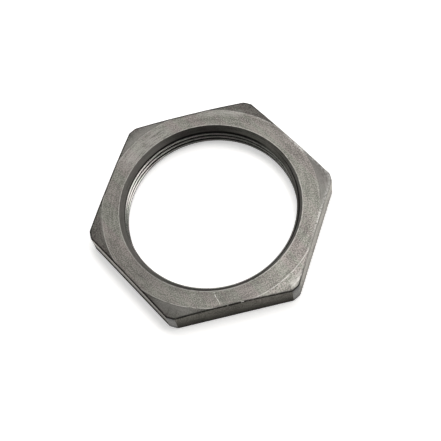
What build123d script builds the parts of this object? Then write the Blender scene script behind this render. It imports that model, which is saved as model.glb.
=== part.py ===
"""Hub nut: a thin hexagon nut with a fine thread, turned from hexagon bar.

The origin is on the bore axis in the bearing face, +Z is up along the bore, and two corners lie on the X axis.
Sizes are in millimetres and angles in degrees.
"""
from build123d import *
import math
import os

# Hexagon
sides = 6
across_flats = 55.0
thickness = 7.0

# Turned outside: the points of the hexagon are taken back to one diameter,
# and the top face is cut to a shallow cone that leaves a flat ring, the land
corner_cut = 0.6
land_reach = 0.2
chamfer_angle = 10.0

# Tumbling: the upright corner edges are rounded more than the edges of the two faces
corner_radius = 1.0
edge_radius = 0.25

# Bore: the wall left at the middle of a flat, a countersink at each face, and a fine
# right-hand thread, whose crests are the bore and whose groove crosses the XZ plane at this height
rim_wall = 4.35
countersink_reach = 0.65
countersink_angle = 90.0
thread_pitch = 1.5
thread_depth = 0.8
groove_height = 0.3

# Thread form: the angle that each flank makes with the nut's faces, and the width
# of the groove's root as a share of the pitch
flank_angle = 30.0
root_share = 1 / 8
cutter_clearance = 0.1

flat_radius = across_flats / 2
turned_radius = flat_radius / math.cos(math.pi / sides) - corner_cut
land_radius = flat_radius + land_reach
chamfer_drop = (turned_radius - land_radius) * math.tan(math.radians(chamfer_angle))

countersink_radius = flat_radius - rim_wall
thread_radius = countersink_radius - countersink_reach
bore_radius = thread_radius - thread_depth
countersink_depth = (countersink_radius - bore_radius) / math.tan(math.radians(countersink_angle / 2))

cutter_reach = thread_depth + cutter_clearance
root_width = root_share * thread_pitch
mouth_width = root_width + 2 * cutter_reach * math.tan(math.radians(flank_angle))

# One turn of the thread's groove, as the tap's tooth sweeps it
with BuildPart() as groove_turn:
    with BuildLine() as tooth_path:
        Helix(pitch=thread_pitch, height=thread_pitch, radius=thread_radius)
    tooth_plane = Plane(origin=tooth_path.line @ 0, x_dir=(1, 0, 0), z_dir=tooth_path.line % 0)
    with BuildSketch(tooth_plane):
        with BuildLine():
            Polyline(
                (0, root_width / 2),
                (0, -root_width / 2),
                (-cutter_reach, -mouth_width / 2),
                (-cutter_reach, mouth_width / 2),
                close=True,
            )
        make_face()
    sweep(path=tooth_path.line, is_frenet=True)

# The groove starts a turn and more below the bearing face and runs out above the top face
turns_below = 2
turns_inside = math.ceil(thickness / thread_pitch)
groove_starts = [(0, 0, groove_height + turn * thread_pitch) for turn in range(-turns_below, turns_inside + 1)]

with BuildPart() as hub_nut:
    # A slice of hexagon bar
    with BuildSketch(Plane.XY):
        RegularPolygon(radius=flat_radius, side_count=sides, major_radius=False)
    extrude(amount=thickness)

    # The lathe's pass over the outside, which leaves a curved edge along the top of each flat
    with BuildSketch(Plane.XZ):
        with BuildLine():
            Polyline(
                (0, 0),
                (turned_radius, 0),
                (turned_radius, thickness - chamfer_drop),
                (land_radius, thickness),
                (0, thickness),
                close=True,
            )
        make_face()
    revolve(axis=Axis.Z, mode=Mode.INTERSECT)

    # The two upright edges of each corner, which run into one round nose
    fillet(hub_nut.edges().filter_by(Axis.Z), radius=corner_radius)

    # The other outer edges, but the line where the cone starts stays as turned
    cone_line = hub_nut.faces().sort_by(Axis.Z)[-1].edges().filter_by(GeomType.CIRCLE)
    upright_lines = hub_nut.edges().filter_by(Axis.Z)
    fillet(hub_nut.edges() - cone_line - upright_lines, radius=edge_radius)

    # Bore with a countersink at each face
    with BuildSketch(Plane.XZ):
        with BuildLine():
            Polyline(
                (0, 0),
                (countersink_radius, 0),
                (bore_radius, countersink_depth),
                (bore_radius, thickness - countersink_depth),
                (countersink_radius, thickness),
                (0, thickness),
                close=True,
            )
        make_face()
    revolve(axis=Axis.Z, mode=Mode.SUBTRACT)

    # The thread, which starts as a broken line low on each countersink
    with Locations(*groove_starts):
        add(groove_turn.part, mode=Mode.SUBTRACT)

hub_nut.part.label = "hub_nut"

os.makedirs("parts", exist_ok=True)
export_step(hub_nut.part, "parts/hub_nut.step")
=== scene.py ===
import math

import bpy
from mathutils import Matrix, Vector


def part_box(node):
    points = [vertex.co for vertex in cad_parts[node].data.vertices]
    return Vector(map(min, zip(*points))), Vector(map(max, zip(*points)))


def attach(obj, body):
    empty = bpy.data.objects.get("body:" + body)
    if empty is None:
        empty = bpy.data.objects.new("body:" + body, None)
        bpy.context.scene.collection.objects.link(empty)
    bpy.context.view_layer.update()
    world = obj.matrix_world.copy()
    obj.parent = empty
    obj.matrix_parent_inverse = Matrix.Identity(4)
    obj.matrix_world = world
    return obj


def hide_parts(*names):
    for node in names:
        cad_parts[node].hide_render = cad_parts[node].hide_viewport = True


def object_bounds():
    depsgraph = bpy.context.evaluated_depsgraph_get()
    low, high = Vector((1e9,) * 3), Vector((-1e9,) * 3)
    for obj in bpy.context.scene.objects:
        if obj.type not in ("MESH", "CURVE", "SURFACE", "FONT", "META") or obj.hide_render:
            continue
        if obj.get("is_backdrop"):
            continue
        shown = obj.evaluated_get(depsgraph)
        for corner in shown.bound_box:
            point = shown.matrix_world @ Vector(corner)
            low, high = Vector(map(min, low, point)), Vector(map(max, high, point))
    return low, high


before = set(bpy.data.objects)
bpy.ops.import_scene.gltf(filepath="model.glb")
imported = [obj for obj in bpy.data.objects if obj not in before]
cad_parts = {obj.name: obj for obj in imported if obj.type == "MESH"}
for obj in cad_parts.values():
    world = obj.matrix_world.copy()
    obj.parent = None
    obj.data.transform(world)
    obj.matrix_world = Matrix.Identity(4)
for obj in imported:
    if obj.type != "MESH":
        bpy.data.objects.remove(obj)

# %% [markdown]
# # A hub nut of dark phosphated steel
# A hub nut holds a wheel bearing on its axle. It is a thin hexagon with a wide bore and a fine thread,
# so nearly all of it is a flat ring seen from above. It could be made from one long list of points, but
# here it follows the workshop: a blank, shaped like a turned slice of hexagon bar, is bored and tapped
# with solid tools. Six finishes, one for each kind of face, are then built from shared node groups.
# Everything is in metres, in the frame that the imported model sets: the bore's axis is Z, the bearing
# face lies on the floor, and two corners lie on X.

cad_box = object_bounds()
nut_low, nut_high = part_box("hub_nut")
mm = 0.001
print("packed nut in mm:", [round(side / mm, 3) for side in nut_high - nut_low])

# %% [markdown]
# ## Sizes of the bar
# The nut starts as a slice of hexagon bar, and the lathe takes its six points back to one diameter.
# These sizes could be typed in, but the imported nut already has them: two flats lie across Y, and two
# cut corners lie on X. So they are read from its box, and both models stay the same size.

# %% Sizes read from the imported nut
sides = 6
half_side = math.pi / sides
flat_radius = (nut_high.y - nut_low.y) / 2
turned_radius = (nut_high.x - nut_low.x) / 2
thickness = nut_high.z - nut_low.z
corner_cut = flat_radius / math.cos(half_side) - turned_radius
print("corners are cut back", round(corner_cut / mm, 3), "mm")

# %% [markdown]
# ## The outline
# Seen from above, a real hub nut has straight flats, short turned stretches at the corners, and small
# rounds between them, which tumbling leaves. It could be a six-sided cylinder with a bevel, but a bevel
# gives equal corners without the turned stretch. So the outline is made of three curves in turn: the
# flat, a small arc and the turned circle. The arc touches both of its neighbours, and its centre lies
# one corner radius inside each. The outline is written as a distance from the axis for each direction,
# where a turn of zero looks along the middle of a flat.

# %% Where the small arc starts and ends
corner_radius = 1.0 * mm
arc_x = flat_radius - corner_radius
arc_y = math.sqrt((turned_radius - corner_radius) ** 2 - arc_x ** 2)
arc_from = math.atan2(arc_y, flat_radius)
arc_to = math.atan2(arc_y, arc_x)
print("arc from", round(math.degrees(arc_from), 2), "to", round(math.degrees(arc_to), 2), "degrees")


# %% Distance from the axis to the outline
def outline(turn):
    turn = abs(turn)
    if turn <= arc_from:
        return flat_radius / math.cos(turn)
    if turn >= arc_to:
        return turned_radius
    aside = arc_x * math.sin(turn) - arc_y * math.cos(turn)
    along = arc_x * math.cos(turn) + arc_y * math.sin(turn)
    return along + math.sqrt(corner_radius ** 2 - aside ** 2)


print("axis to flat", round(outline(0) / mm, 2), "mm, to corner", round(outline(half_side) / mm, 2), "mm")


# %% Directions, closer together where the outline bends
def spread(start, end, steps):
    return [start + (end - start) * step / steps for step in range(steps)]


flat_steps, arc_steps, turned_steps = 16, 4, 2
half_turns = (
    spread(0, arc_from, flat_steps)
    + spread(arc_from, arc_to, arc_steps)
    + spread(arc_to, half_side, turned_steps)
)
side_turns = [-turn for turn in reversed(half_turns[1:])] + half_turns + [half_side]
print(len(side_turns), "directions to a side")

# %% [markdown]
# ## The section
# Seen from the side, the nut's edge is also a row of simple parts: a rounded bottom edge, the upright
# flat, a rounded top edge, the shallow turned cone, and the flat ring inside it, which is called the
# land. The cone only starts outside the land, so the middle of each flat stays square and its ends drop
# away, which leaves the curved edge that every turned nut shows. One fixed section, spun round, would
# give a round washer, so the section is worked out anew for each distance of the outline.

# %% The section at one distance
land_reach = 0.1 * mm
land_radius = flat_radius + land_reach
chamfer_angle = math.radians(10)
edge_radius = 0.25 * mm
edge_steps = 3
blank_bore = 20 * mm


def section(reach):
    """Radius and height of each point of the section, from the bore's bottom out and back to its top."""
    inside = reach - edge_radius
    slope = chamfer_angle if inside > land_radius else 0
    fall = max(0, inside - land_radius) * math.tan(chamfer_angle)
    arc_height = thickness - fall - edge_radius / math.cos(slope)
    points = [(blank_bore, 0)]
    for step in range(edge_steps + 1):
        turn = -math.pi / 2 + math.pi / 2 * step / edge_steps
        points.append((inside + edge_radius * math.cos(turn), edge_radius + edge_radius * math.sin(turn)))
    for step in range(edge_steps + 1):
        turn = (math.pi / 2 - slope) * step / edge_steps
        points.append((inside + edge_radius * math.cos(turn), arc_height + edge_radius * math.sin(turn)))
    points.append((min(land_radius, inside), thickness))
    points.append((blank_bore, thickness))
    return points


print("the section has", len(section(turned_radius)), "points")

# %% [markdown]
# ## The blank
# The blank is the bar after the lathe and the tumbling drum, still without its bore. A bevel on a solid
# cut by Booleans would be the short way, but it stops at the first short edge that a cut has left. So a
# flat grid is wrapped round the axis like a strip of sheet. Its rows follow the section and its columns
# follow the outline, and every edge comes out round and evenly divided. Operators work on whatever is
# selected, so a helper first deselects all and then picks one piece.


# %% A helper that picks one piece
def pick_only(piece):
    bpy.ops.object.select_all(action="DESELECT")
    bpy.context.view_layer.objects.active = piece
    piece.select_set(True)


# %% Wrap a grid round the axis
steps_per_side = len(side_turns) - 1
columns = sides * steps_per_side
rows = len(section(turned_radius))
bpy.ops.object.select_all(action="DESELECT")
bpy.ops.mesh.primitive_grid_add(x_subdivisions=columns, y_subdivisions=rows, size=1)
nut = bpy.context.object
nut.name = "hub_nut_steel"
for index, vertex in enumerate(nut.data.vertices):
    row, column = divmod(index, columns + 1)
    side, step = divmod(column % columns, steps_per_side)
    radius, height = section(outline(side_turns[step]))[row % rows]
    direction = math.pi / 2 + side * 2 * half_side + side_turns[step]
    vertex.co = (radius * math.cos(direction), radius * math.sin(direction), height)
print("the grid has", columns, "columns and", rows, "rows")

# %% Close the seams
weld_distance = 0.002 * mm
pick_only(nut)
bpy.ops.object.mode_set(mode="EDIT")
bpy.ops.mesh.select_all(action="SELECT")
bpy.ops.mesh.remove_doubles(threshold=weld_distance)
bpy.ops.mesh.normals_make_consistent(inside=False)
bpy.ops.object.mode_set(mode="OBJECT")
print("blank has", len(nut.data.polygons), "faces")
print("blank measures", [round(length / mm, 3) for length in nut.dimensions], "mm")

# %% [markdown]
# ## Bore and countersinks
# The bore is drilled through and countersunk from both faces at ninety degrees. Three tools could do it
# in turn, but each cut leaves slivers to weld, so one tool does it all: a bar as wide as the bore, whose
# end faces are pushed out past the nut and scaled, which leaves a cone behind. A Boolean modifier then
# takes the bar away from the nut. It needs closed solids, as a lathe needs a solid bar, and the used
# tool is deleted.

# %% A helper for round bars
round_facets = 180


def make_bar(name, radius, low, high):
    bpy.ops.object.select_all(action="DESELECT")
    bpy.ops.mesh.primitive_cylinder_add(
        vertices=round_facets, radius=radius, depth=high - low, location=(0, 0, (low + high) / 2)
    )
    bar = bpy.context.object
    bar.name = name
    bpy.ops.object.transform_apply(location=True, rotation=True, scale=True)
    return bar


# %% A helper for cones
def push_end(bar, upward, rise, old_radius, new_radius):
    """Pushes the bar's top or bottom face out along the axis and scales it."""
    pick_only(bar)
    bpy.ops.object.mode_set(mode="EDIT")
    bpy.ops.mesh.select_mode(type="FACE")
    bpy.ops.mesh.select_all(action="DESELECT")
    bpy.ops.object.mode_set(mode="OBJECT")
    direction = 1 if upward else -1
    end = max(bar.data.polygons, key=lambda face: direction * face.center.z)
    end.select = True
    bpy.ops.object.mode_set(mode="EDIT")
    bpy.ops.mesh.extrude_region_move(TRANSFORM_OT_translate={"value": (0, 0, direction * rise)})
    ratio = new_radius / old_radius
    bpy.ops.transform.resize(value=(ratio, ratio, 1), center_override=(0, 0, 0))
    bpy.ops.object.mode_set(mode="OBJECT")


# %% A helper for cuts
def cut(piece, tool):
    """Takes a solid tool away from the piece, and welds the slivers that the cut leaves."""
    pick_only(piece)
    boolean = piece.modifiers.new("cut", "BOOLEAN")
    boolean.operation = "DIFFERENCE"
    boolean.solver = "EXACT"
    boolean.object = tool
    bpy.ops.object.modifier_apply(modifier=boolean.name)
    bpy.ops.object.mode_set(mode="EDIT")
    bpy.ops.mesh.select_all(action="SELECT")
    bpy.ops.mesh.remove_doubles(threshold=weld_distance)
    bpy.ops.object.mode_set(mode="OBJECT")
    print(tool.name, "leaves", len(piece.data.polygons), "faces")
    bpy.data.objects.remove(tool, do_unlink=True)


# %% Bore the nut
rim_radius = 23.15 * mm
bore_radius = 21.7 * mm
countersink_depth = rim_radius - bore_radius
flare_past = 1 * mm
flare_radius = rim_radius + flare_past
drill = make_bar("drill", bore_radius, countersink_depth, thickness - countersink_depth)
push_end(drill, True, countersink_depth + flare_past, bore_radius, flare_radius)
push_end(drill, False, countersink_depth + flare_past, bore_radius, flare_radius)
cut(nut, drill)
print("countersinks are", round(countersink_depth / mm, 2), "mm deep")

# %% [markdown]
# ## Thread
# A tap cuts one long groove that climbs a pitch with every turn. The tool is that groove as a solid: the
# tap's tooth, drawn as four points, is carried round by a Screw modifier, and its two open ends are
# filled. A plain stack of rings would look much the same from afar, but a real thread runs out on the
# countersinks as a thinning ridge, and only a helix does that.

# %% Sizes of the tap's tooth
thread_radius = 22.5 * mm
thread_pitch = 1.5 * mm
flank_angle = math.radians(30)
root_share = 1 / 8
root_width = root_share * thread_pitch
tooth_clearance = 0.1 * mm
tooth_reach = thread_radius - bore_radius + tooth_clearance
mouth_width = root_width + 2 * tooth_reach * math.tan(flank_angle)
print("tooth is", round(mouth_width / mm, 3), "mm wide at its mouth")

# %% Draw the tooth, some turns below the nut
groove_height = 0.3 * mm
turns_below = 2
tooth_start = groove_height - turns_below * thread_pitch
tooth = (
    (thread_radius - tooth_reach, -mouth_width / 2),
    (thread_radius, -root_width / 2),
    (thread_radius - tooth_reach, mouth_width / 2),
    (thread_radius, root_width / 2),
)
bpy.ops.object.select_all(action="DESELECT")
bpy.ops.mesh.primitive_plane_add(size=1)
tap = bpy.context.object
tap.name = "tap"
for vertex, (radius, height) in zip(tap.data.vertices, tooth):
    vertex.co = (radius, 0, tooth_start + height)
print("tooth starts", round(-tooth_start / mm, 2), "mm below the bearing face")

# %% Carry the tooth round and cut the thread
thread_turns = math.ceil(thickness / thread_pitch) + turns_below
steps_per_turn = 120
pick_only(tap)
bpy.ops.object.mode_set(mode="EDIT")
bpy.ops.mesh.select_mode(type="FACE")
bpy.ops.mesh.select_all(action="SELECT")
bpy.ops.mesh.delete(type="ONLY_FACE")
bpy.ops.object.mode_set(mode="OBJECT")
screw = tap.modifiers.new("screw", "SCREW")
screw.angle = math.tau
screw.iterations = thread_turns
screw.screw_offset = thread_pitch
screw.steps = steps_per_turn
screw.render_steps = steps_per_turn
bpy.ops.object.modifier_apply(modifier=screw.name)
bpy.ops.object.mode_set(mode="EDIT")
bpy.ops.mesh.select_all(action="SELECT")
bpy.ops.mesh.fill_holes(sides=len(tooth))
bpy.ops.mesh.normals_make_consistent(inside=False)
bpy.ops.object.mode_set(mode="OBJECT")
cut(nut, tap)

# %% [markdown]
# ## Shading
# On steel the large faces are flat, and the thin round edges between them catch the light. Smoothing by
# angle could do it all, but the line where the cone starts is too shallow for it, and on a real turned
# nut that line is crisp. So the edges are smoothed by angle, that line's edges are marked sharp one by
# one, and a Weighted Normal modifier gives the large faces the say over the small ones.

# %% Mark the land line and smooth the rest
near = 0.02 * mm
smooth_below = math.radians(25)


def on_land_line(vertex):
    on_top = abs(vertex.co.z - thickness) < near
    return on_top and abs(vertex.co.xy.length - land_radius) < near


pick_only(nut)
land_corners = {vertex.index for vertex in nut.data.vertices if on_land_line(vertex)}
for edge in nut.data.edges:
    edge.use_edge_sharp = set(edge.vertices) <= land_corners
bpy.ops.object.shade_smooth_by_angle(angle=smooth_below, keep_sharp_edges=True)
weighted = nut.modifiers.new("weighted", "WEIGHTED_NORMAL")
weighted.keep_sharp = True
bpy.ops.object.modifier_apply(modifier=weighted.name)
print("land line has", len(land_corners), "corners")

# %% [markdown]
# ## Node helpers
# A material is a tree of small nodes. Each could be added in three or four lines, but the finishes need
# hundreds. The first helper adds a node, sets its fields, and gives each input either a plain value or
# another node's output. The others shorten what is used most: sums and products, vectors, colour mixes,
# and a node group with named sockets, which is built once and placed in each finish.


# %% A helper that adds a node
def put(tree, kind, inputs=None, **fields):
    """Adds a node, sets its fields, and fills its inputs with values or with other nodes' outputs."""
    node = tree.nodes.new(kind)
    for name, value in fields.items():
        setattr(node, name, value)
    for name, value in (inputs or {}).items():
        if isinstance(value, bpy.types.NodeSocket):
            tree.links.new(value, node.inputs[name])
        else:
            node.inputs[name].default_value = value
    return node


# %% Helpers for numbers
def math_node(tree, operation, *values, clamp=False):
    inputs = dict(enumerate(values))
    return put(tree, "ShaderNodeMath", inputs, operation=operation, use_clamp=clamp).outputs[0]


def times(tree, first, *others):
    """Multiplies two or more numbers."""
    product = first
    for other in others:
        product = math_node(tree, "MULTIPLY", product, other)
    return product


def largest(tree, first, *others):
    """Keeps the largest of the numbers."""
    most = first
    for other in others:
        most = math_node(tree, "MAXIMUM", most, other)
    return most


# %% Helpers for vectors
def vector_node(tree, operation, *values):
    return put(tree, "ShaderNodeVectorMath", dict(enumerate(values)), operation=operation).outputs[0]


def scaled(tree, vector, factor):
    """Makes a vector longer or shorter."""
    return put(tree, "ShaderNodeVectorMath", {0: vector, "Scale": factor}, operation="SCALE").outputs[0]


def measure(tree, operation, *vectors):
    """Gets one number, such as a length, from one or two vectors."""
    inputs = dict(enumerate(vectors))
    return put(tree, "ShaderNodeVectorMath", inputs, operation=operation).outputs["Value"]


# %% Helpers for mixes and soft limits
def blend(tree, mask, low, high, blend_type="MIX"):
    """Mixes two colours: the low one where the mask is 0, the high one where it is 1."""
    mix = put(tree, "ShaderNodeMix", {0: mask, 6: low, 7: high}, data_type="RGBA", blend_type=blend_type)
    return mix.outputs[2]


def ramp(tree, value, start=0.0, end=1.0, first=0.0, last=1.0):
    """Goes smoothly from first to last while the value goes from start to end."""
    limits = {"Value": value, "From Min": start, "From Max": end, "To Min": first, "To Max": last}
    return put(tree, "ShaderNodeMapRange", limits, interpolation_type="SMOOTHSTEP").outputs[0]


# %% A helper that starts a node group
def start_group(name, inputs, outputs):
    group = bpy.data.node_groups.new(name, "ShaderNodeTree")
    for socket, kind, value in inputs:
        made = group.interface.new_socket(socket, in_out="INPUT", socket_type="NodeSocket" + kind)
        if value is not None:
            made.default_value = value
    for socket, kind in outputs:
        group.interface.new_socket(socket, in_out="OUTPUT", socket_type="NodeSocket" + kind)
    print("group", name)
    return group, group.nodes.new("NodeGroupInput").outputs, group.nodes.new("NodeGroupOutput").inputs


# %% [markdown]
# ## Coordinates for turned steel
# Turned steel carries marks that follow the cut. Noise for it could be stretched with a Mapping node,
# but that only stretches it straight. So the position is split into a direction from the axis and a
# distance from it. The direction, drawn on a circle, changes slowly and has no seam, and the distance
# changes fast. A second group tells how far in from the hexagon's edge a point is, for dirt and wear
# along that edge.

# %% Group: coordinates that run round the axis
ring_space, given, result = start_group(
    "ring space",
    [("Vector", "Vector", None), ("Round", "Float", 0.1)],
    [("Vector", "Vector"), ("Radius", "Float"), ("Height", "Float")],
)
height = put(ring_space, "ShaderNodeSeparateXYZ", {0: given["Vector"]}).outputs["Z"]
level_place = vector_node(ring_space, "MULTIPLY", given["Vector"], (1, 1, 0))
radius = measure(ring_space, "LENGTH", level_place)
direction = vector_node(ring_space, "NORMALIZE", level_place)
circle = scaled(ring_space, direction, times(ring_space, given["Round"], land_radius))
outward = math_node(ring_space, "ADD", radius, height)
climb = put(ring_space, "ShaderNodeCombineXYZ", {2: outward}).outputs[0]
ring_space.links.new(vector_node(ring_space, "ADD", circle, climb), result["Vector"])
ring_space.links.new(radius, result["Radius"])
ring_space.links.new(height, result["Height"])

# %% Group: how far in from the hexagon's edge
edge_space, given, result = start_group("edge space", [("Vector", "Vector", None)], [("Inset", "Float")])
level_place = vector_node(edge_space, "MULTIPLY", given["Vector"], (1, 1, 0))
inset = math_node(edge_space, "SUBTRACT", turned_radius, measure(edge_space, "LENGTH", level_place))
for pair in range(sides // 2):
    middle = half_side + pair * 2 * half_side
    toward_flat = (math.cos(middle), math.sin(middle), 0)
    aside = math_node(edge_space, "ABSOLUTE", measure(edge_space, "DOT_PRODUCT", level_place, toward_flat))
    inset = math_node(edge_space, "MINIMUM", inset, math_node(edge_space, "SUBTRACT", flat_radius, aside))
edge_space.links.new(inset, result["Inset"])

# %% [markdown]
# ## Soft noise
# Patches, streaks, specks and worn spots are all the same thing at another scale: noise between two
# limits. Each could have its own texture and ramp, but one group holds both, so a finish only says how
# wide a grain is and how much of the surface it covers.

# %% Group: soft noise between two limits
soft_noise, given, result = start_group(
    "soft noise",
    [("Vector", "Vector", None), ("Grain", "Float", 1.0), ("Empty", "Float", 0.35), ("Full", "Float", 0.65)],
    [("Mask", "Float")],
)
grains_per_metre = math_node(soft_noise, "DIVIDE", 1 / mm, given["Grain"])
cloud = put(
    soft_noise,
    "ShaderNodeTexNoise",
    {"Vector": given["Vector"], "Scale": grains_per_metre, "Detail": 2.0, "Roughness": 0.55},
)
soft_noise.links.new(ramp(soft_noise, cloud.outputs[0], given["Empty"], given["Full"]), result["Mask"])


# %% Helpers that place noise and ring coordinates
def noise(tree, place, grain, empty=0.3, full=0.7):
    """A mask with grains about this many millimetres wide, 0 where the noise is at empty and 1 at full."""
    inputs = {"Vector": place, "Grain": grain, "Empty": empty, "Full": full}
    return put(tree, "ShaderNodeGroup", inputs, node_tree=soft_noise).outputs[0]


def rings(tree, place, length=1):
    """Coordinates in which a grain is this many times as long round the axis as it is wide."""
    return put(tree, "ShaderNodeGroup", {"Vector": place, "Round": 1 / length}, node_tree=ring_space).outputs


# %% [markdown]
# ## The steel's skin
# The phosphate bath leaves dark steel with cloudy patches, some a little pink and some a little green,
# and tumbling in a drum adds a fine speckle over the turning marks. Each finish could mix its own, but
# then they would not look like one piece of steel. So one group mixes them all into a tone, and colours
# it between a dark and a light shade, and each finish gives its own shades and amounts.

# %% Helper: two masks as one swing about zero
def swing(tree, first, second, reach):
    """Adds two masks, so that together they go from minus this reach to plus this reach."""
    return math_node(tree, "MULTIPLY_ADD", math_node(tree, "ADD", first, second), reach, -reach)


# %% Group: patches, streaks and speckle of the skin
steel_skin, given, result = start_group(
    "steel skin",
    [
        ("Vector", "Vector", None),
        ("Dark", "Color", (0.1, 0.1, 0.1, 1)),
        ("Light", "Color", (0.2, 0.2, 0.2, 1)),
        ("Patches", "Float", 0.5),
        ("Streaks", "Float", 0.5),
        ("Speckle", "Float", 0.5),
    ],
    [("Color", "Color"), ("Tone", "Float"), ("Grain", "Float")],
)
# Noise is different at every place, so a shifted place gives a pattern of its own
elsewhere = vector_node(steel_skin, "ADD", given["Vector"], (0.31, 0.17, 0.23))
higher = vector_node(steel_skin, "ADD", given["Vector"], (0, 0, 0.37))
clouds = noise(steel_skin, given["Vector"], grain=5.0)
patches = noise(steel_skin, elsewhere, grain=1.8)
long_place = rings(steel_skin, given["Vector"], length=16)["Vector"]
streaks = noise(steel_skin, long_place, grain=0.4, empty=0.35, full=0.65)
wide_place = rings(steel_skin, higher, length=12)["Vector"]
bands = noise(steel_skin, wide_place, grain=1.1, empty=0.35, full=0.65)
speckle = noise(steel_skin, given["Vector"], grain=0.27)

# %% Tone and colour of the skin
mask_middle = 0.5
patchy = swing(steel_skin, clouds, patches, reach=0.5)
tone = math_node(steel_skin, "MULTIPLY_ADD", patchy, given["Patches"], mask_middle)
streaky = swing(steel_skin, streaks, bands, reach=0.7)
tone = math_node(steel_skin, "MULTIPLY_ADD", streaky, given["Streaks"], tone)
speckled = math_node(steel_skin, "SUBTRACT", speckle, mask_middle)
tone = math_node(steel_skin, "MULTIPLY_ADD", speckled, given["Speckle"], tone, clamp=True)
pink, green = (1.042, 0.98, 0.988, 1), (0.975, 1.012, 0.957, 1)
hue_place = rings(steel_skin, elsewhere, length=3)["Vector"]
hue = noise(steel_skin, hue_place, grain=2.4, empty=0.38, full=0.62)
tint = blend(steel_skin, hue, pink, green)
shade = blend(steel_skin, tone, given["Dark"], given["Light"])
steel_skin.links.new(blend(steel_skin, 1.0, shade, tint, "MULTIPLY"), result["Color"])
steel_skin.links.new(tone, result["Tone"])
steel_skin.links.new(math_node(steel_skin, "ADD", streaks, speckle), result["Grain"])
print("the skin's group has", len(steel_skin.nodes), "nodes")

# %% [markdown]
# ## Scratches, rubs and soft patches
# Knocks leave a few bright lines and nicks, and wide soft spots lie over the faces, some of them rubs
# and some painted light and shade. Painting them on a picture would need an image file. Here each is a
# distance to a short straight line: a narrow one is a scratch, one with no length is a nick, and a wide one
# is a soft spot. It stays clear at any size.

# %% Group: a scratch
scratch, given, result = start_group(
    "scratch",
    [("Vector", "Vector", None), ("Start", "Vector", None), ("End", "Vector", None), ("Width", "Float", 0.1)],
    [("Mask", "Float")],
)
from_start = vector_node(scratch, "SUBTRACT", given["Vector"], given["Start"])
run = vector_node(scratch, "SUBTRACT", given["End"], given["Start"])
along = measure(scratch, "DOT_PRODUCT", from_start, run)
whole = measure(scratch, "DOT_PRODUCT", run, run)
share = math_node(scratch, "DIVIDE", along, whole, clamp=True)
gap = measure(scratch, "DISTANCE", from_start, scaled(scratch, run, share))
scratch.links.new(ramp(scratch, gap, 0.0, given["Width"], first=1.0, last=0.0), result["Mask"])


# %% A helper that places scratches
def marks(tree, place, lines):
    """Joins scratches, each given in millimetres as a start, an end and a width."""
    masks = []
    for start, end, width in lines:
        inputs = {"Vector": place, "Start": Vector(start) * mm, "End": Vector(end) * mm, "Width": width * mm}
        masks.append(put(tree, "ShaderNodeGroup", inputs, node_tree=scratch).outputs[0])
    return largest(tree, *masks)


# %% [markdown]
# ## Starting and ending a finish
# Every finish on the nut is the same steel, and only its skin, its dirt, its wear and its painted light
# and shade differ. Each could be a full material of its own, but the start and the end are alike. So one
# helper starts an empty material with the piece's own coordinates, and another ends it with a bump and
# the shader. Between them, a third places the skin, and a fourth fades an effect from the left of the nut to
# its right.


# %% Helpers that start and end a finish
def start_finish(name):
    material = bpy.data.materials.new(name)
    material.use_nodes = True
    tree = material.node_tree
    tree.nodes.clear()
    print("finish", name)
    return material, tree, put(tree, "ShaderNodeTexCoord").outputs["Object"]


def end_finish(tree, colour, metallic, roughness, height, depth, gloss=0.5, film=(1.0, 1.0, 1.0)):
    """Gloss is how much the part that is not metal mirrors, and film tints what the surface mirrors at a low
    angle.
    """
    bump = put(tree, "ShaderNodeBump", {"Height": height, "Strength": 1.0, "Distance": depth})
    inputs = {
        "Base Color": colour,
        "Metallic": metallic,
        "Roughness": roughness,
        "Specular IOR Level": gloss,
        "Specular Tint": (*film, 1),
        "Normal": bump.outputs[0],
    }
    surface = put(tree, "ShaderNodeBsdfPrincipled", inputs)
    put(tree, "ShaderNodeOutputMaterial", {"Surface": surface.outputs[0]})
    print("it has", len(tree.nodes), "nodes")


# %% Helpers for the skin and for sides of the nut
def skin(tree, place, dark, light, patches, streaks, speckle):
    amounts = {"Patches": patches, "Streaks": streaks, "Speckle": speckle}
    shades = {"Dark": (*dark, 1), "Light": (*light, 1)}
    return put(tree, "ShaderNodeGroup", {"Vector": place, **shades, **amounts}, node_tree=steel_skin).outputs


def across(tree, place, start, end, first=0.0, last=1.0):
    """Goes from first to last along X, between two places in millimetres."""
    x = put(tree, "ShaderNodeSeparateXYZ", {0: place}).outputs["X"]
    return ramp(tree, x, start * mm, end * mm, first, last)


# %% [markdown]
# ## The turned face
# The land and its cone are turned in one pass, so they share a finish: grey steel with streaks round the
# axis and a strong speckle. Thin painted highlights brighten the rim of the bore and the line where the
# cone starts. Pointiness could find such edges, but it needs a mesh much denser than this one. Both lines
# are circles, so a distance from the axis is enough to find them, and noise breaks the highlights up.

# %% Turned steel: the skin
turned, tree, place = start_finish("turned steel")
turned_dark, turned_light = (0.084, 0.081, 0.0757), (0.207, 0.2005, 0.189)
coat = skin(tree, place, turned_dark, turned_light, patches=0.42, streaks=0.36, speckle=1.3)
around = rings(tree, place)

# %% Turned steel: painted highlights on the rim of the bore and on the line of the cone
rim_full, rim_gone = 0.05 * mm, 0.3 * mm
line_full, line_gone = 0.04 * mm, 0.17 * mm
beside_rim = math_node(tree, "SUBTRACT", around["Radius"], rim_radius)
rim_highlight = ramp(tree, beside_rim, rim_full, rim_gone, first=1.0, last=0.0)
beside_line = math_node(tree, "ABSOLUTE", math_node(tree, "SUBTRACT", around["Radius"], land_radius))
cone_line_highlight = ramp(tree, beside_line, line_full, line_gone, first=1.0, last=0.0)
faint_right = across(tree, place, 23, 26, first=1.0, last=0.3)
spot_noise = noise(tree, place, grain=1.2, empty=0.25, full=0.56)
# Painted highlights on the rim of the bore and on the line of the cone, broken up by noise
brightening = times(tree, largest(tree, rim_highlight, times(tree, cone_line_highlight, faint_right)), spot_noise)
print(len(tree.nodes), "nodes so far")
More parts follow.
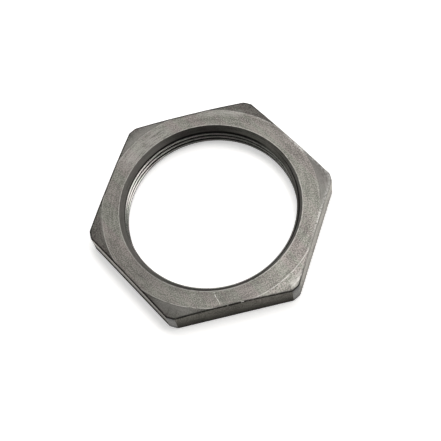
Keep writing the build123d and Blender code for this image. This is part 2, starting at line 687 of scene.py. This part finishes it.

# %% [markdown]
# ## Painted light on corners, scuffs and worn arcs
# Three corners of the cone are painted paler, as light that the lamps leave out. Two corners carry scuffs
# that also paint light onto them, and two arcs at the back of the face are worn. Scattered noise could
# stand in for them, but these marks have their places on the real nut, so each is a wide soft mark.
# Streaks that run round the axis break the scuffs and the arcs up, and the painted light on the corners fades
# towards the edge.

# %% Places of the scuffs, the painted light and the arcs, in millimetres
top = thickness / mm
scuff_and_light_spots = [
    ((30.4, 1.8, 6.4), (29.6, -4.0, 6.4), 3.6),
    ((15.5, -25.8, 6.4), (18.0, -24.0, 6.5), 1.8),
]
worn_arcs = [
    ((-17.0, 18.5, top), (-8.0, 24.0, top), 5),
    ((3.0, 27.0, top), (13.0, 24.0, top), 1.6),
]
painted_light_corners = [
    ((28.0, -3.0, 6.6), (27.0, 5.0, 6.6), 9),
    ((-16.5, 23.5, 6.6), (-11.0, 27.0, 6.6), 6),
    ((-16.5, -24.0, 6.6), (-12.5, -26.5, 6.6), 6),
]
print(len(scuff_and_light_spots), "scuffs,", len(worn_arcs), "arcs and", len(painted_light_corners), "pale corners")

# %% Turned steel: scuffs, arcs and painted light on corners
cone_full = land_radius + 0.3 * mm
on_cone = ramp(tree, around["Radius"], land_radius, cone_full)
paleness = ramp(tree, around["Radius"], land_radius, turned_radius, first=0.62, last=0.12)
# Painted light: three corners of the cone are made paler, fading towards the edge
pale = times(tree, on_cone, paleness, marks(tree, place, painted_light_corners))
streaks = noise(tree, rings(tree, place, length=9)["Vector"], grain=0.3, empty=0.35, full=0.6)
least_scuffed, streak_share, arc_share = 0.25, 0.65, 0.5
scuff_strength = math_node(tree, "MULTIPLY_ADD", streaks, streak_share, least_scuffed)
# Scuffs on two corners at the right, which also paint light onto them
scuffs_and_painted_light = times(tree, marks(tree, place, scuff_and_light_spots), scuff_strength)
arcs = times(tree, marks(tree, place, worn_arcs), times(tree, streaks, arc_share))
brightening = largest(tree, brightening, pale, scuffs_and_painted_light, arcs)
print(len(tree.nodes), "nodes so far")

# %% [markdown]
# ## Specks, a dark patch and painted shade
# Tumbling leaves bright specks and dark pits, which are stronger on the right of the nut. The land is
# darker in a patch at the front left, and painted shade lines the upper edges, less so at the right. A
# darker skin all over would lose the contrast between them. So each has a mask of its own, and they are
# laid over the skin in turn: bare steel with the painted highlights, the dark patch, then the pits and
# the painted shade. The corners' round noses below the cone carry the same painted shade, which is thinner
# half-way up.

# %% Turned steel: bright specks, painted highlights and the dark patch
bare_and_lit_steel = (0.3, 0.293, 0.28, 1)
darkness = (0.05, 0.0485, 0.0455, 1)
front_left_patch = [((-18, -13, 7), (2, -22.5, 7), 9)]
speck_strength, patch_strength = 0.9, 0.36
grainy_side = across(tree, place, -12, 12, first=0.55, last=1.35)
specks = times(tree, noise(tree, place, grain=0.3, empty=0.64, full=0.76), grainy_side)
brightening = math_node(tree, "MULTIPLY_ADD", specks, speck_strength, brightening, clamp=True)
colour = blend(tree, brightening, coat["Color"], bare_and_lit_steel)
# A darker patch on the land at the front left
dark_patch = times(tree, marks(tree, place, front_left_patch), patch_strength)
colour = blend(tree, dark_patch, colour, darkness)
print(len(tree.nodes), "nodes so far")

# %% Turned steel: painted shade along the edges, and dark pits
black_pits_and_shade = (0.012, 0.0117, 0.011, 1)
right_side = (16, 20)
nose_foot, nose_top = (0.5 * mm, 3.0 * mm), (4.5 * mm, 6.0 * mm)
half_way_up = 0.42
pit_strength = 0.5
inset = put(tree, "ShaderNodeGroup", {"Vector": place}, node_tree=edge_space).outputs["Inset"]
# Painted shade along the hexagon's edge, lighter at the right
painted_edge_shade = ramp(tree, inset, 0.25 * mm, 0.55 * mm, first=0.95, last=0.0)
less_shade_right = across(tree, place, *right_side, first=1.0, last=0.15)
# On the noses the painted shade is darkest at the top and the foot
upper_end = ramp(tree, around["Height"], *nose_top, first=half_way_up, last=1.0)
lower_end = ramp(tree, around["Height"], *nose_foot, first=0.9, last=half_way_up)
uneven = noise(tree, place, grain=1.5, empty=0.15, full=0.45)
painted_edge_shade = times(tree, painted_edge_shade, less_shade_right, largest(tree, upper_end, lower_end), uneven)
pits = times(tree, noise(tree, place, grain=0.33, empty=0.36, full=0.24), grainy_side)
pits_and_shade = math_node(tree, "MULTIPLY_ADD", pits, pit_strength, painted_edge_shade, clamp=True)
colour = blend(tree, pits_and_shade, colour, black_pits_and_shade)
print(len(tree.nodes), "nodes so far")

# %% [markdown]
# ## Knocks
# The front of the land has a thin scratch and a few nicks, and the corner at the right has a chipped,
# bright rim. They could be cut into the mesh, but they are finer than its faces. So they are laid over
# all else as freshly bared steel, and noise leaves gaps in them.

# %% Places of the scratch and the nicks, in millimetres
face_scratches = [
    ((-3.85, -23.3, top), (-3.7, -24.4, top), 0.13),
    ((-3.7, -24.4, top), (-3.2, -25.8, top), 0.1),
    ((-3.2, -25.8, top), (-3.05, -26.7, top), 0.08),
    ((-8.8, -22.5, top), (-8.6, -22.6, top), 0.1),
    ((-7.4, -24.5, top), (-7.4, -24.5, top), 0.12),
    ((2.0, -27.25, top), (2.6, -27.3, top), 0.14),
    ((28.9, 4.6, 6.6), (29.3, 3.9, 6.5), 0.16),
    ((29.8, 3.4, 6.45), (30.4, 2.0, 6.4), 0.24),
    ((30.5, 1.2, 6.4), (30.6, 0.4, 6.4), 0.26),
    ((30.5, -0.9, 6.4), (30.2, -2.3, 6.4), 0.2),
    ((29.5, -3.2, 6.5), (29.1, -4.2, 6.6), 0.16),
    ((28.4, -5.5, 6.7), (28.1, -6.1, 6.7), 0.13),
]
print(len(face_scratches), "scratches and nicks")

# %% Turned steel: knocks and the surface
fresh_steel = (0.5, 0.495, 0.48, 1)
chips = noise(tree, place, grain=0.5, empty=0.35, full=0.6)
bright_rim = ramp(tree, inset, 0.3 * mm, 1.0 * mm, first=0.75, last=0.0)
bright_rim = times(tree, bright_rim, across(tree, place, 21, 26), chips)
gaps = noise(tree, place, grain=0.5, empty=0.3, full=0.5)
knocks = largest(tree, times(tree, marks(tree, place, face_scratches), gaps), bright_rim)
colour = blend(tree, knocks, colour, fresh_steel)
roughness = ramp(tree, coat["Tone"], first=0.42, last=0.34)
bare_share = 0.7
end_finish(tree, colour, bare_share, roughness, height=coat["Grain"], depth=0.006 * mm)

# %% [markdown]
# ## The flats
# The flats keep the smooth skin of the rolled bar. They are darker than the turned face, and painted
# shade makes them darkest at the foot, most of all at the left. Painted light makes them brighter at
# the right, and above the foot at the left. Each flat could have a material of its own, but the painted
# shade and light run on round the corners. So one finish covers all six, and both change along X and
# with height. Metallic carries the painted shade and light: where it is low, the dark skin mirrors little.

# %% Rolled flats: the skin, and painted shade and light in how much of it is metal
rolled, tree, place = start_finish("rolled flats")
rolled_dark, rolled_light = (0.02, 0.0193, 0.0178), (0.058, 0.0561, 0.052)
coat = skin(tree, place, rolled_dark, rolled_light, patches=0.7, streaks=0.12, speckle=1.1)
height = rings(tree, place)["Height"]
right_end, left_end = (15.5, 18.5), (-16.5, -14.5)
painted_light_gain = 1.6
# Painted shade: less metal towards the foot; painted light adds metal at the right and the left
metal_share = ramp(tree, height, -0.5 * mm, 6.2 * mm, first=0.05, last=0.7)
painted_light_right = across(tree, place, *right_end, first=0.0, last=0.3)
metal_share = math_node(tree, "ADD", metal_share, times(tree, painted_light_right, painted_light_gain))
metal_share = math_node(tree, "ADD", metal_share, across(tree, place, *left_end, first=0.22, last=0.0))
print(len(tree.nodes), "nodes so far")

# %% Rolled flats: painted shade at the foot, painted light and the surface
painted_light_steel = (0.3, 0.293, 0.281, 1)
oily = (1.0, 0.97, 0.91)
least_clean, tone_share = 0.75, 0.5
painted_shade_left = across(tree, place, *left_end, first=0.85, last=0.0)
painted_shade_foot = times(tree, painted_shade_left, ramp(tree, height, 1.5 * mm, 5.0 * mm, first=1.0, last=0.0))
metal_share = times(tree, metal_share, math_node(tree, "SUBTRACT", 1.0, painted_shade_foot))
uneven = math_node(tree, "MULTIPLY_ADD", coat["Tone"], tone_share, least_clean)
metal_share = math_node(tree, "MULTIPLY", metal_share, uneven, clamp=True)
# Painted light: paler steel at the right, and above the foot at the left
painted_light_left = across(tree, place, -31, -15, first=0.6, last=0.0)
painted_light_left = times(tree, painted_light_left, ramp(tree, height, 1.5 * mm, 5.5 * mm))
brightening = math_node(tree, "ADD", painted_light_right, painted_light_left)
colour = blend(tree, brightening, coat["Color"], painted_light_steel)
roughness = ramp(tree, coat["Tone"], first=0.34, last=0.24)
end_finish(tree, colour, metal_share, roughness, height=coat["Grain"], depth=0.004 * mm, gloss=0.0, film=oily)

# %% [markdown]
# ## Dark edges
# The small rounds between the flats and the faces are painted nearly black, as shade. At the right
# painted light makes them pale steel, and elsewhere they are worn through only here and there. They
# could share the finish of the flats, but a thin dark line round the face is what sets it off in the light.

# %% Dark edges: painted shade, painted light at the right, and wear
painted_dark_edges, tree, place = start_finish("dark edges")
# Painted shade: the skin of the edges is nearly black
edge_dark, edge_light = (0.006, 0.0058, 0.0053), (0.03, 0.029, 0.027)
bare_and_lit_edge, fresh_edge = (0.35, 0.343, 0.33, 1), (0.6, 0.59, 0.57, 1)
spot_strength, bare_share = 0.5, 0.05
coat = skin(tree, place, edge_dark, edge_light, patches=0.7, streaks=0.5, speckle=0.7)
# Painted light at the right, with worn spots elsewhere
painted_light_right_edge = across(tree, place, *right_side, first=0.0, last=0.8)
spot_noise = noise(tree, place, grain=0.6, empty=0.62, full=0.75)
wear_and_painted_light = math_node(tree, "MULTIPLY_ADD", spot_noise, spot_strength, painted_light_right_edge, clamp=True)
colour = blend(tree, wear_and_painted_light, coat["Color"], bare_and_lit_edge)
colour = blend(tree, marks(tree, place, face_scratches), colour, fresh_edge)
roughness = ramp(tree, coat["Tone"], first=0.65, last=0.5)
end_finish(tree, colour, bare_share, roughness, height=coat["Grain"], depth=0.006 * mm, gloss=0.0)

# %% [markdown]
# ## The countersinks
# The countersinks are turned and keep their dark skin. Painted light brightens them at the left and the
# right, painted shade darkens them at the front and the back, and painted shade makes them nearly black
# in the seam above the first thread. More lamps could bring out the lit sides, but they would flatten the
# rest, so the painted light and shade are wide soft marks.

# %% Places of the painted light and painted shade, in millimetres
bore_light_left = [((-22, -6, 6), (-12, 19, 6), 13)]
bore_light_right = [((11, -20, 6), (22.5, 3, 6), 8)]
bore_shade_pools = [((-8, -21, 6), (6, -22, 6), 12), ((-2, 22, 6), (5, 22, 6), 9)]
print(len(bore_light_left + bore_light_right), "rubs and", len(bore_shade_pools), "pools of oil")

# %% Countersinks: painted light and painted shade
bored, tree, place = start_finish("bored steel")
bored_dark, bored_light = (0.06, 0.058, 0.0545), (0.12, 0.116, 0.11)
bore_light_colour, bore_shade_colour = (0.24, 0.232, 0.22, 1), (0.01, 0.0096, 0.0092, 1)
right_share, bore_light_strength, bore_shade_strength = 0.55, 0.45, 0.6
coat = skin(tree, place, bored_dark, bored_light, patches=0.5, streaks=0.7, speckle=0.6)
# Painted light at the left and the right
bore_light = marks(tree, place, bore_light_left)
bore_light = math_node(tree, "MULTIPLY_ADD", marks(tree, place, bore_light_right), right_share, bore_light, clamp=True)
# Painted shade at the front and the back
dark_patch = marks(tree, place, bore_shade_pools)
colour = blend(tree, times(tree, bore_light, bore_light_strength), coat["Color"], bore_light_colour)
colour = blend(tree, times(tree, dark_patch, bore_shade_strength), colour, bore_shade_colour)
print(len(tree.nodes), "nodes so far")

# %% Countersinks: painted shade in the seam, and the surface
seam_shade_colour = (0.004, 0.0039, 0.0037, 1)
above_thread = math_node(tree, "SUBTRACT", rings(tree, place)["Radius"], bore_radius)
# Painted shade in the seam above the first thread, lighter at the right
painted_seam_shade = ramp(tree, above_thread, 0.2 * mm, 0.4 * mm, first=1.0, last=0.0)
painted_seam_shade = times(tree, painted_seam_shade, across(tree, place, 14, 20, first=1.0, last=0.3))
colour = blend(tree, painted_seam_shade, colour, seam_shade_colour)
roughness = ramp(tree, coat["Tone"], first=0.62, last=0.5)
metallic = ramp(tree, dark_patch, first=0.7, last=0.45)
metallic = times(tree, metallic, math_node(tree, "SUBTRACT", 1.0, painted_seam_shade))
end_finish(tree, colour, metallic, roughness, height=coat["Grain"], depth=0.006 * mm, gloss=0.0)

# %% [markdown]
# ## The thread
# The thread's flanks are polished by the tap and by the axle, and near the bore they are the brightest
# steel on the nut. Deep in the groove they are painted dark as shade, and the narrow crests and roots
# are painted nearly black as shade too. The whole thread could have one finish, but its lines show from
# afar only because dark and bright lie side by side, so the flanks have one finish and the crests and roots
# another.

# %% Thread flanks, with painted shade deep in the groove
tapped, tree, place = start_finish("tapped steel")
tapped_dark, tapped_light = (0.44, 0.436, 0.428), (0.66, 0.655, 0.643)
groove_shade = (0.02, 0.0197, 0.019, 1)
coat = skin(tree, place, tapped_dark, tapped_light, patches=0.4, streaks=0.3, speckle=0.1)
around = rings(tree, place, length=30)
into_groove = math_node(tree, "SUBTRACT", around["Radius"], bore_radius)
# Painted shade: the flanks darken and lose metal deeper in the groove
deep = ramp(tree, into_groove, 0.15 * mm, 0.4 * mm)
colour = blend(tree, deep, coat["Color"], groove_shade)
lines = noise(tree, around["Vector"], grain=0.16)
roughness = ramp(tree, lines, first=0.32, last=0.22)
metallic = ramp(tree, deep, first=0.95, last=0.3)
end_finish(tree, colour, metallic, roughness, height=lines, depth=0.001 * mm, gloss=0.0)

# %% Thread crests and roots, painted nearly black as shade
crests, tree, place = start_finish("dark crests")
# Painted shade: the crests and roots are nearly black
crest_dark, crest_light = (0.006, 0.006, 0.0055), (0.02, 0.0195, 0.018)
coat = skin(tree, place, crest_dark, crest_light, patches=0.5, streaks=0.9, speckle=0.4)
bare_share, dullness = 0.1, 0.6
end_finish(tree, coat["Color"], bare_share, dullness, height=coat["Grain"], depth=0.004 * mm, gloss=0.0)

# %% [markdown]
# ## Give each face its finish
# Each machine leaves its own surface, so each face takes the finish of the tool that made it. With the
# mouse they would be selected by hand. In code they are sorted by where they are and which way they
# look: a face's levelness is 1 where it lies flat and 0 where it stands upright. The corners' round
# noses are turned too. They lie inside the hexagon's flats, so they are found by how far they reach
# towards the nearest flat.

# %% How to tell the faces apart
face_levelness = 0.983
edge_levelness = 0.5
countersink_levelness = math.sqrt(0.5)
near_levelness = 0.02


def hexagon_reach(point):
    middles = [math.pi / 2 + side * math.tau / sides for side in range(sides)]
    return max(point.x * math.cos(middle) + point.y * math.sin(middle) for middle in middles)


def finish_of(face):
    reach = min(nut.data.vertices[index].co.xy.length for index in face.vertices)
    levelness = abs(face.normal.z)
    if reach > rim_radius + near or (reach > rim_radius - near and levelness > face_levelness):
        if levelness > face_levelness:
            return turned
        if levelness > edge_levelness:
            return painted_dark_edges
        return turned if hexagon_reach(face.center) < flat_radius - near else rolled
    if abs(levelness - countersink_levelness) < near_levelness:
        return bored
    return tapped if levelness > edge_levelness else crests


# %% Sort the faces
finishes = [turned, rolled, painted_dark_edges, bored, tapped, crests]
nut.data.materials.clear()
for finish in finishes:
    nut.data.materials.append(finish)
for face in nut.data.polygons:
    face.material_index = finishes.index(finish_of(face))
for index, finish in enumerate(finishes):
    print(finish.name, "covers", sum(face.material_index == index for face in nut.data.polygons), "faces")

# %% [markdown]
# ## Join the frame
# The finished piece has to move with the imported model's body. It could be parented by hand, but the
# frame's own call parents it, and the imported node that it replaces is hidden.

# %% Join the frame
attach(nut, "root")
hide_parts("hub_nut")
print(nut.name, "has", len(nut.data.polygons), "faces and", len(nut.data.materials), "finishes")

# %% [markdown]
# ## Camera
# The photo looks down on the nut from high in front, with the camera tilted a little to one side. A
# camera can be aimed at an empty object, but the photo's own angles are easier to keep in four plain
# moves: it stands off from the nut, rolls, tips down, and turns about the bore's axis.

# %% Camera
camera_elevation = math.radians(63.87)
camera_turn = math.radians(1.358)
camera_roll = math.radians(-14.765)
camera_distance = 263.67 * mm
aim_right = 1.841 * mm
aim_down = 0.931 * mm
sensor_width = 36
lens_length = 83.815
camera = bpy.data.objects.new("camera", bpy.data.cameras.new("camera"))
camera.data.sensor_width = sensor_width
camera.data.lens = lens_length
turn = Matrix.Rotation(camera_turn, 4, "Z")
tip = Matrix.Rotation(math.pi / 2 - camera_elevation, 4, "X")
roll = Matrix.Rotation(camera_roll, 4, "Z")
stand = Matrix.Translation((aim_right, -aim_down, camera_distance))
camera.matrix_world = turn @ tip @ roll @ stand
bpy.context.scene.collection.objects.link(camera)
bpy.context.scene.camera = camera
print("camera stands at", [round(place / mm, 1) for place in camera.matrix_world.translation], "mm")

# %% [markdown]
# ## Floor and world
# The photo shows the nut on plain white with a small soft shadow. More light would make the floor white,
# but it would wash out the nut. So the floor is a large pale sheet whose own colour gives over half of
# the white, and a glow, which only the camera, reflections and glass see, adds the rest. Away from the
# nut it comes out white, and the shadow stays. The world stands for the studio's walls, which are
# bright low down and dark above, in a slightly warm white.

# %% Floor
floor_size = 4
floor_level = 0.92
glow_level = 0.49
bpy.ops.object.select_all(action="DESELECT")
bpy.ops.mesh.primitive_plane_add(size=floor_size)
floor = bpy.context.object
floor.name = "floor"
paper = bpy.data.materials.new("white paper")
paper.use_nodes = True
tree = paper.node_tree
tree.nodes.clear()
path = put(tree, "ShaderNodeLightPath").outputs
seen = largest(tree, path["Is Camera Ray"], path["Is Glossy Ray"], path["Is Transmission Ray"])
glow = put(tree, "ShaderNodeEmission", {"Strength": times(tree, seen, glow_level)})
matt = put(tree, "ShaderNodeBsdfDiffuse", {"Color": (floor_level, floor_level, floor_level, 1)})
both = put(tree, "ShaderNodeAddShader", {0: matt.outputs[0], 1: glow.outputs[0]})
put(tree, "ShaderNodeOutputMaterial", {"Surface": both.outputs[0]})
floor.data.materials.append(paper)
floor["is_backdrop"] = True
print("floor is", floor.dimensions.x, "m wide")

# %% World
warm_white = (1.0, 0.983, 0.955)
wall_level = 1.0
ceiling_level = 0.1
wall_top = 0.35
world = bpy.data.worlds.new("studio")
world.use_nodes = True
tree = world.node_tree
tree.nodes.clear()
way = put(tree, "ShaderNodeTexCoord").outputs["Generated"]
rise = put(tree, "ShaderNodeSeparateXYZ", {0: way}).outputs["Z"]
level = ramp(tree, rise, 0.0, wall_top, first=wall_level, last=ceiling_level)
sky = put(tree, "ShaderNodeBackground", {"Color": (*warm_white, 1), "Strength": level})
put(tree, "ShaderNodeOutputWorld", {"Surface": sky.outputs[0]})
bpy.context.scene.world = world
print("world goes from", wall_level, "to", ceiling_level)

# %% [markdown]
# ## Lamps
# Smooth steel shows the lamps more than its own colour, so their places matter. One strong softbox could
# light it all, but it would leave the far sides of the bore black. The bright side of the nut's face
# and of its bore asks for a large softbox high above it, a little behind and to the right, and three
# weaker cards lift the rear, the left and the right.

# %% A helper for lamps
lamp_distance = 0.6


def hang_lamp(name, azimuth, elevation, width, height, level):
    """Aims a flat lamp at the nut. Its level is the brightness of its face."""
    azimuth, elevation = math.radians(azimuth), math.radians(elevation)
    toward = Vector((
        math.cos(azimuth) * math.cos(elevation),
        math.sin(azimuth) * math.cos(elevation),
        math.sin(elevation),
    ))
    sideways = Vector((-math.sin(azimuth), math.cos(azimuth), 0))
    lamp = bpy.data.objects.new(name, bpy.data.lights.new(name, "AREA"))
    lamp.data.shape = "RECTANGLE"
    lamp.data.size = width
    lamp.data.size_y = height
    lamp.data.energy = level * math.pi * width * height
    lamp.data.color = warm_white
    lamp.location = toward * lamp_distance
    lamp.rotation_euler = Matrix((sideways, toward.cross(sideways), toward)).transposed().to_euler()
    bpy.context.scene.collection.objects.link(lamp)
    print(name, "gives", round(lamp.data.energy, 2), "W")


# %% Hang the lamps
hang_lamp("softbox", azimuth=30, elevation=75, width=0.4, height=0.2, level=7.6)
hang_lamp("rear card", azimuth=100, elevation=51, width=0.42, height=0.24, level=2.2)
hang_lamp("left card", azimuth=180, elevation=20, width=0.27, height=0.27, level=1.9)
hang_lamp("right card", azimuth=-2, elevation=40, width=0.31, height=0.3, level=2.05)

# %% [markdown]
# ## Finish
# The Standard view shows a colour as it is written, where a film-like view would grey the white floor.
# To show whether the looks outgrow the imported model, both boxes are compared and the differences printed.
# The looks may not outgrow the imported model.

# %% Compare both boxes and finish
bpy.context.scene.view_settings.view_transform = "Standard"
look_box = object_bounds()
for name, look_corner, cad_corner in zip(("low", "high"), look_box, cad_box):
    print(name, "corners differ by", [round((a - b) / mm, 4) for a, b in zip(look_corner, cad_corner)], "mm")
